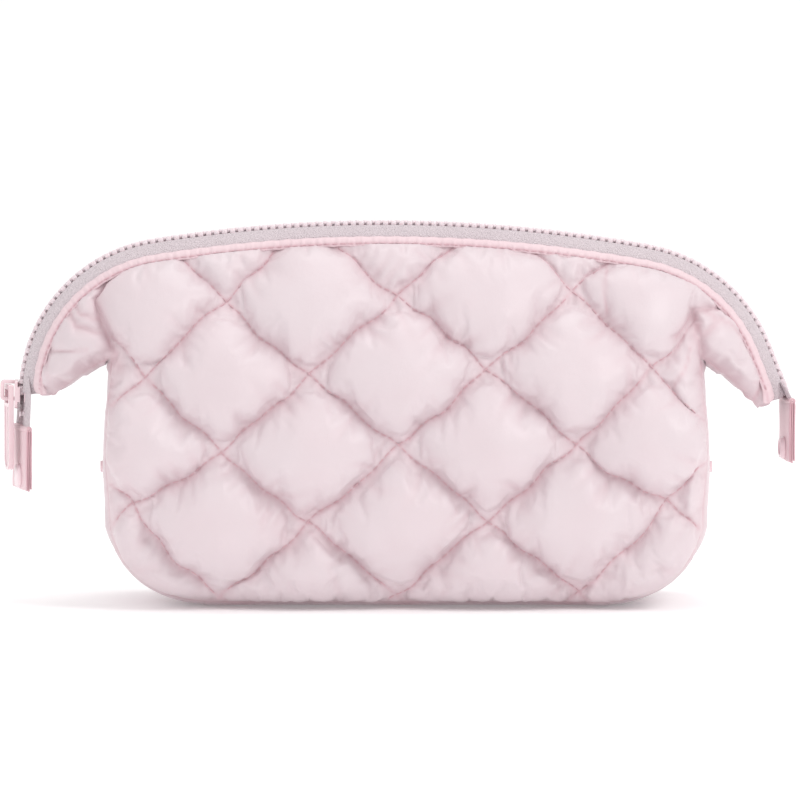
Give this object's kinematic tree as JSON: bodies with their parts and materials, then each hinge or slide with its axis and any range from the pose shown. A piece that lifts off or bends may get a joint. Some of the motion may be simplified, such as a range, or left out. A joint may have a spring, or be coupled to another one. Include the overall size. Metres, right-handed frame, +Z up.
{
  "type": "makeup bag",
  "caption": "Puffy quilted half-moon makeup bag with a moulded zip over the top, pull, side wings, snap tabs on the zip ends, lining and snap studs",
  "frame": {"origin": "centre of the base on the surface the bag stands on, below the middle of the bounding box", "axes": "+X to the right along the zip as seen from the front, +Y from front to back, +Z up; the front faces -Y"},
  "size_m": [0.3057, 0.096, 0.1467],
  "materials": {
    "shell_fabric": "smooth quilted nylon satin",
    "lining_fabric": "thin plain woven lining",
    "binding_fabric": "folded fabric strip, top stitched",
    "zip_tape": "fine herringbone woven tape",
    "zip_teeth": "moulded, satin",
    "slider_plastic": "moulded, glossy",
    "snap_plastic": "moulded, glossy",
    "tab_fabric": "folded fabric strip, pressed flat"
  },
  "bodies": {
    "root": {"gusset": "shell_fabric", "front_panel_lower": "shell_fabric", "front_panel_upper": "shell_fabric", "back_panel_lower": "shell_fabric", "back_panel_upper": "shell_fabric", "front_lining": "lining_fabric", "back_lining": "lining_fabric", "gusset_lining": "lining_fabric", "left_end_tape": "zip_tape", "right_end_tape": "zip_tape", "left_end_teeth": "zip_teeth", "top_stops": "zip_teeth", "bottom_stop": "zip_teeth", "left_side_stud": "snap_plastic", "right_side_stud": "snap_plastic", "left_stud_post": "snap_plastic", "right_stud_post": "snap_plastic"},
    "front_lip": {"front_binding": "binding_fabric", "front_tape": "zip_tape", "front_teeth": "zip_teeth"},
    "back_lip": {"back_binding": "binding_fabric", "back_tape": "zip_tape", "back_teeth": "zip_teeth"},
    "slider": {"slider_body": "slider_plastic", "slider_bridge": "slider_plastic"},
    "pull": {"zip_pull": "slider_plastic"},
    "left_tab": {"left_tab": "tab_fabric", "left_snap_cap": "snap_plastic", "left_snap_socket": "snap_plastic"},
    "right_tab": {"right_tab": "tab_fabric", "right_snap_cap": "snap_plastic", "right_snap_socket": "snap_plastic"}
  },
  "joints": [
    {"name": "front_lip_open", "type": "hinge", "parent": "root", "child": "front_lip", "pos_m": [0, 0, 0.08], "axis": [1, 0, 0], "range_deg": [0, 30], "deforming": ["front_panel_upper", "front_lining"]},
    {"name": "back_lip_open", "type": "hinge", "parent": "root", "child": "back_lip", "pos_m": [0, 0, 0.08], "axis": [-1, 0, 0], "range_deg": [0, 30], "deforming": ["back_panel_upper", "back_lining"]},
    {"name": "slider_travel", "type": "hinge", "parent": "root", "child": "slider", "pos_m": [-0.086, 0, 0.07936], "axis": [0, -1, 0], "range_deg": [-74, 0]},
    {"name": "pull_swing", "type": "hinge", "parent": "slider", "child": "pull", "pos_m": [-0.15087, 0, 0.0827], "axis": [-0.2588, 0.9659, 0], "range_deg": [0, 150]},
    {"name": "left_tab_swing", "type": "hinge", "parent": "root", "child": "left_tab", "pos_m": [-0.14582, 0, 0.0668], "axis": [0.2588, -0.9659, 0], "range_deg": [0, 50]},
    {"name": "right_tab_swing", "type": "hinge", "parent": "root", "child": "right_tab", "pos_m": [0.14858, 0, 0.0778], "axis": [-0.1219, 0.9925, 0], "range_deg": [-60, 28]}
  ]
}
